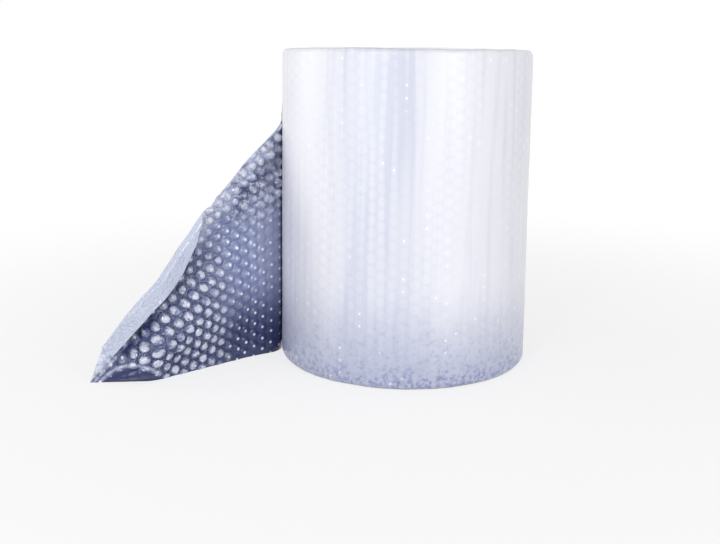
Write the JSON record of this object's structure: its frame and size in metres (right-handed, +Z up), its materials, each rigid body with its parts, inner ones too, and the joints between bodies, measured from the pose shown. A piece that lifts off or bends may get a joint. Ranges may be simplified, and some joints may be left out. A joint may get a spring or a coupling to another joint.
{
  "type": "air bubble film roll",
  "caption": "Free-standing coreless roll of clear air bubble cushioning film with an open winding hole and a slanting loose end that trails along the floor.",
  "frame": {"origin": "on the roll's axis, in the plane of the end that it stands on", "axes": "+Z up along the roll's axis and its winding hole, +Y to the back, with the loose end trailing to the left (-X) and front (-Y)"},
  "size_m": [0.4077, 0.2447, 0.3],
  "materials": {
    "film": "clear soft film with air bubbles, milky where it is wound many turns thick, lavender grey in one layer"
  },
  "bodies": {
    "root": {"bubble_film": "film"}
  },
  "joints": []
}
